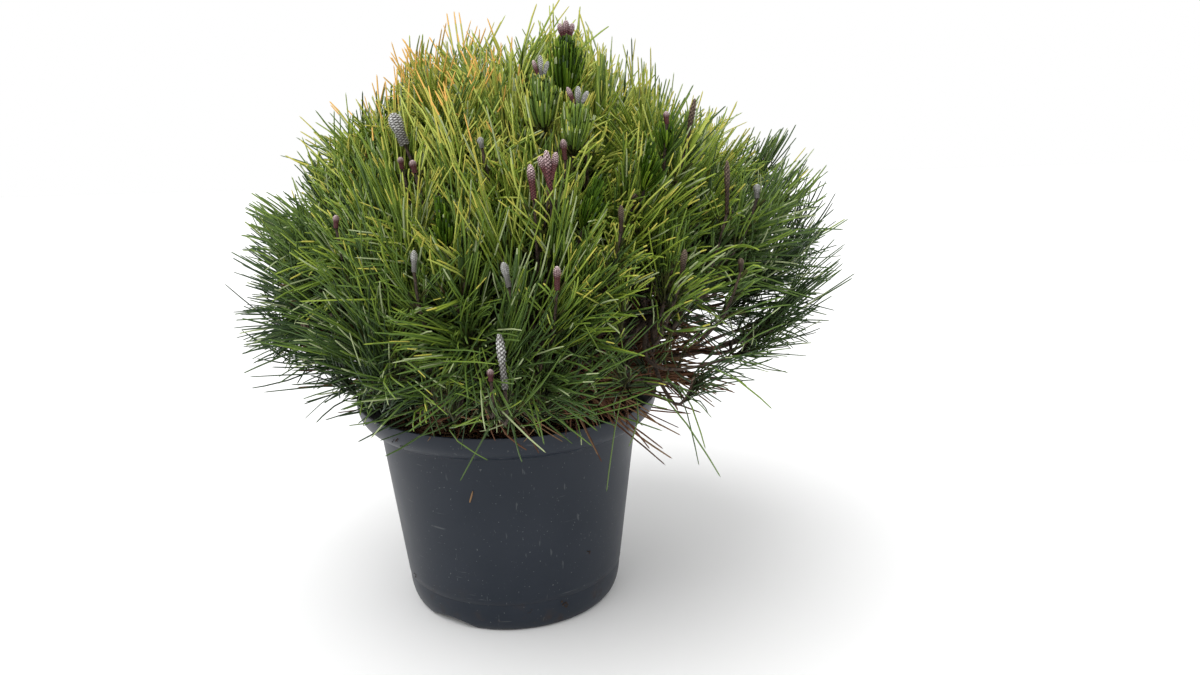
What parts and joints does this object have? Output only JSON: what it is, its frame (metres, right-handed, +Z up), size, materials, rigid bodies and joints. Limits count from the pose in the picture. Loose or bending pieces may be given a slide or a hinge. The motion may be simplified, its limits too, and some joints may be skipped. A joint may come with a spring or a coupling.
{
  "type": "potted mugo pine",
  "caption": "Low, rounded mugo pine with long needles, in a tapering nursery pot with a flared collar, standing on the pot's flat underside.",
  "frame": {"origin": "middle of the pot's flat underside, on the ground", "axes": "+Z up, +X to the right of the picture's view, +Y away from it"},
  "size_m": [0.5632, 0.5334, 0.5403],
  "materials": {
    "pot": "satin anthracite",
    "soil": "moist peat",
    "bark": "rough scaly bark",
    "needles": "satin green"
  },
  "bodies": {
    "root": {"pot": "pot", "soil": "soil", "trunk": "bark", "bough_01": "bark", "bough_02": "bark", "bough_03": "bark", "bough_04": "bark", "bough_05": "bark", "bough_06": "bark", "bough_07": "bark", "bough_08": "bark", "bough_09": "bark", "bough_10": "bark", "bough_11": "bark", "bough_12": "bark", "bough_13": "bark", "bough_14": "bark", "bough_15": "bark", "bough_16": "bark", "bough_17": "bark", "bough_18": "bark", "bough_19": "bark", "mass_01": "needles", "mass_02": "needles", "mass_03": "needles", "mass_04": "needles", "mass_05": "needles", "mass_06": "needles", "mass_07": "needles", "mass_08": "needles", "mass_09": "needles", "mass_10": "needles", "mass_11": "needles", "mass_12": "needles", "mass_13": "needles", "mass_14": "needles", "mass_15": "needles", "mass_16": "needles", "mass_17": "needles", "mass_18": "needles", "mass_19": "needles", "mass_20": "needles"}
  },
  "joints": []
}
